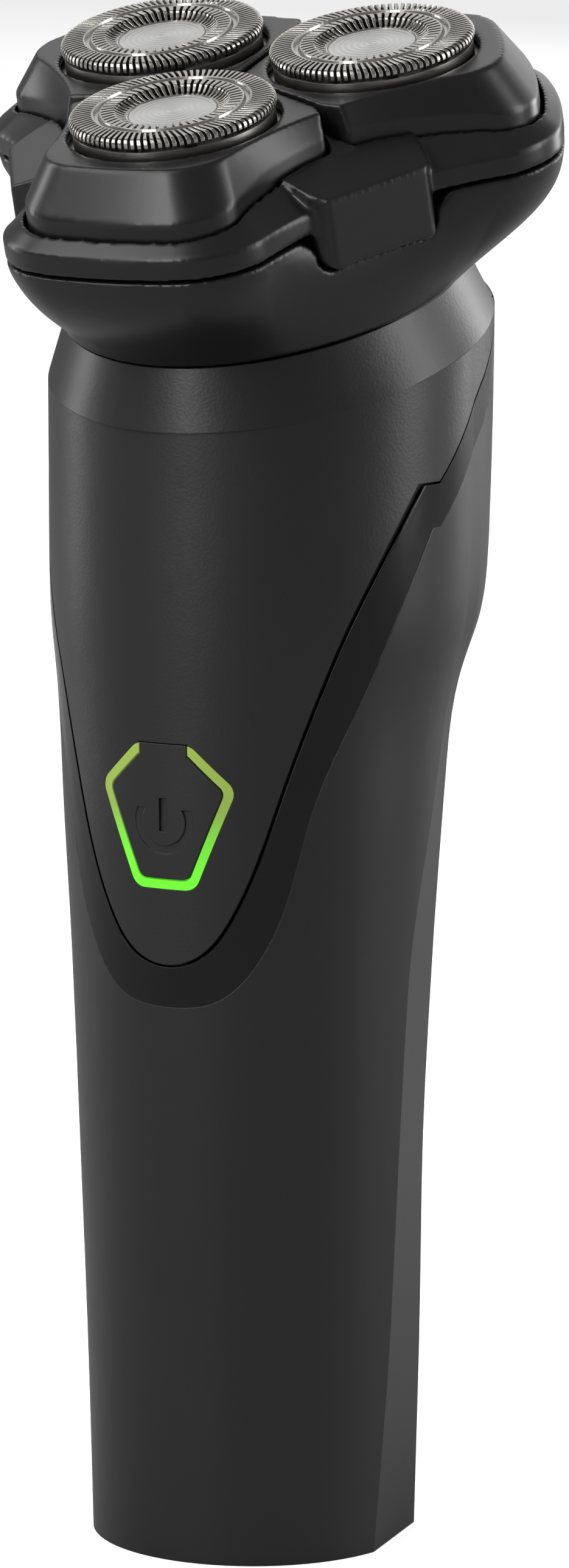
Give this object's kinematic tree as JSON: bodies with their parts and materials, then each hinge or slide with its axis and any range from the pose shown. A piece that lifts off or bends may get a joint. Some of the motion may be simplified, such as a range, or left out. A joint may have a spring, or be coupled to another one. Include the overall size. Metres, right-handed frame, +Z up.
{
  "type": "rotary electric shaver",
  "caption": "Handheld rotary electric shaver with floating slotted steel caps on a pull-off head, a leaning charcoal handle, a gloss band and a lit power button.",
  "frame": {"origin": "centre of the flat base, at the mouth of the charging recess", "axes": "+Z up the handle, -Y towards the front with the power button, +X to the right of someone facing the front"},
  "size_m": [0.0628, 0.06, 0.1572],
  "materials": {
    "cover_textured": "fine leather-like moulded grain, charcoal",
    "shell_satin": "smooth satin, charcoal",
    "band_gloss": "polished piano black",
    "head_satin": "fine satin spark finish, charcoal",
    "cap_steel": "bright ground steel",
    "disc_steel": "concentric fine turned, light",
    "sleeve_steel": "dark satin steel",
    "light_green": "translucent light guide, lit green",
    "button_satin": "satin charcoal with a recessed power symbol",
    "rubber_black": "moulded seal",
    "board_green": "solder-masked board",
    "switch_black": "moulded switch",
    "led_white": "light source",
    "chassis_grey": "moulded frame",
    "nylon_white": "low-friction gear",
    "gear_brass": "cut brass",
    "screw_steel": "zinc-plated",
    "spring_steel": "bright spring",
    "battery_wrap": "sleeved cell",
    "tab_nickel": "nickel strip",
    "motor_can": "plated can",
    "socket_metal": "plated shell",
    "magnet_nickel": "nickel-plated",
    "cutter_steel": "ground blades",
    "hub_plastic": "moulded hub"
  },
  "bodies": {
    "handle": {"front_cover": "cover_textured", "rear_shell": "shell_satin", "gloss_band": "band_gloss", "light_guide": "light_green", "circuit_board": "board_green", "tact_switch": "switch_black", "light_leds": "led_white", "chassis": "chassis_grey", "board_screws": "screw_steel", "battery_cell": "battery_wrap", "battery_tabs": "tab_nickel", "charge_socket": "socket_metal", "socket_seal": "rubber_black", "motor_case": "motor_can", "gear_case": "chassis_grey", "gear_axles": "screw_steel", "motor_screws": "screw_steel", "gear_cover": "chassis_grey", "cover_screws": "screw_steel", "spindle_seals": "rubber_black", "head_bowl": "head_satin", "collar_seal": "rubber_black", "bowl_magnets": "magnet_nickel"},
    "button": {"power_button": "button_satin"},
    "drive": {"motor_shaft": "screw_steel", "sun_gear": "gear_brass"},
    "frame": {"head_frame": "head_satin", "petal_pins": "screw_steel", "frame_magnets": "magnet_nickel", "retaining_plate": "chassis_grey"},
    "planet_1": {"planet_gear_1": "nylon_white", "drive_spindle_1": "screw_steel"},
    "petal_1": {"petal_1": "head_satin", "float_spring_1": "spring_steel"},
    "cap_1": {"cap_1": "cap_steel", "cap_disc_1": "disc_steel", "cap_sleeve_1": "sleeve_steel"},
    "cutter_1": {"cutter_1": "cutter_steel", "cutter_hub_1": "hub_plastic"},
    "planet_2": {"planet_gear_2": "nylon_white", "drive_spindle_2": "screw_steel"},
    "petal_2": {"petal_2": "head_satin", "float_spring_2": "spring_steel"},
    "cap_2": {"cap_2": "cap_steel", "cap_disc_2": "disc_steel", "cap_sleeve_2": "sleeve_steel"},
    "cutter_2": {"cutter_2": "cutter_steel", "cutter_hub_2": "hub_plastic"},
    "planet_3": {"planet_gear_3": "nylon_white", "drive_spindle_3": "screw_steel"},
    "petal_3": {"petal_3": "head_satin", "float_spring_3": "spring_steel"},
    "cap_3": {"cap_3": "cap_steel", "cap_disc_3": "disc_steel", "cap_sleeve_3": "sleeve_steel"},
    "cutter_3": {"cutter_3": "cutter_steel", "cutter_hub_3": "hub_plastic"}
  },
  "joints": [
    {"name": "button_press", "type": "hinge", "parent": "handle", "child": "button", "pos_m": [0, -0.0186, 0.0849], "axis": [1, 0, 0], "range_deg": [0, 2], "stiffness_Nm_per_rad": 0.03, "springref_deg": -8.59},
    {"name": "motor_spin", "type": "hinge", "parent": "handle", "child": "drive", "pos_m": [0, 0.00072, 0.13635], "axis": [0, -0.2823, 0.9593], "continuous": true},
    {"name": "frame_lift", "type": "slide", "parent": "handle", "child": "frame", "axis": [0, -0.2823, 0.9593], "range_m": [0, 0.015]},
    {"name": "planet_spin_1", "type": "hinge", "parent": "handle", "child": "planet_1", "pos_m": [0, -0.01252, 0.13245], "axis": [0, -0.2823, 0.9593], "continuous": true},
    {"name": "petal_tilt_1", "type": "hinge", "parent": "frame", "child": "petal_1", "pos_m": [0, -0.02651, 0.13782], "axis": [-1, 0, 0], "range_deg": [0, 3], "stiffness_Nm_per_rad": 0.05, "springref_deg": -20.05},
    {"name": "cap_float_1", "type": "slide", "parent": "petal_1", "child": "cap_1", "axis": [0, 0.2823, -0.9593], "range_m": [0, 0.0007], "stiffness_N_per_m": 400, "springref_m": -0.0015},
    {"name": "cutter_spin_1", "type": "hinge", "parent": "cap_1", "child": "cutter_1", "pos_m": [0, -0.01704, 0.1478], "axis": [0, -0.2823, 0.9593], "continuous": true},
    {"name": "planet_spin_2", "type": "hinge", "parent": "handle", "child": "planet_2", "pos_m": [0.01195, 0.00734, 0.1383], "axis": [0, -0.2823, 0.9593], "continuous": true},
    {"name": "petal_tilt_2", "type": "hinge", "parent": "frame", "child": "petal_2", "pos_m": [0.02226, 0.01048, 0.14871], "axis": [0.5, -0.8308, -0.2445], "range_deg": [0, 3], "stiffness_Nm_per_rad": 0.05, "springref_deg": -20.05},
    {"name": "cap_float_2", "type": "slide", "parent": "petal_2", "child": "cap_2", "axis": [0, 0.2823, -0.9593], "range_m": [0, 0.0007], "stiffness_N_per_m": 400, "springref_m": -0.0015},
    {"name": "cutter_spin_2", "type": "hinge", "parent": "cap_2", "child": "cutter_2", "pos_m": [0.01195, 0.00282, 0.15365], "axis": [0, -0.2823, 0.9593], "continuous": true},
    {"name": "planet_spin_3", "type": "hinge", "parent": "handle", "child": "planet_3", "pos_m": [-0.01195, 0.00734, 0.1383], "axis": [0, -0.2823, 0.9593], "continuous": true},
    {"name": "petal_tilt_3", "type": "hinge", "parent": "frame", "child": "petal_3", "pos_m": [-0.02226, 0.01048, 0.14871], "axis": [0.5, 0.8308, 0.2445], "range_deg": [0, 3], "stiffness_Nm_per_rad": 0.05, "springref_deg": -20.05},
    {"name": "cap_float_3", "type": "slide", "parent": "petal_3", "child": "cap_3", "axis": [0, 0.2823, -0.9593], "range_m": [0, 0.0007], "stiffness_N_per_m": 400, "springref_m": -0.0015},
    {"name": "cutter_spin_3", "type": "hinge", "parent": "cap_3", "child": "cutter_3", "pos_m": [-0.01195, 0.00282, 0.15365], "axis": [0, -0.2823, 0.9593], "continuous": true}
  ],
  "couplings": [
    {"joint": "planet_spin_1", "follows": "motor_spin", "ratio": -0.64286},
    {"joint": "cutter_spin_1", "follows": "motor_spin", "ratio": -0.64286},
    {"joint": "planet_spin_2", "follows": "motor_spin", "ratio": -0.64286},
    {"joint": "cutter_spin_2", "follows": "motor_spin", "ratio": -0.64286},
    {"joint": "planet_spin_3", "follows": "motor_spin", "ratio": -0.64286},
    {"joint": "cutter_spin_3", "follows": "motor_spin", "ratio": -0.64286}
  ]
}
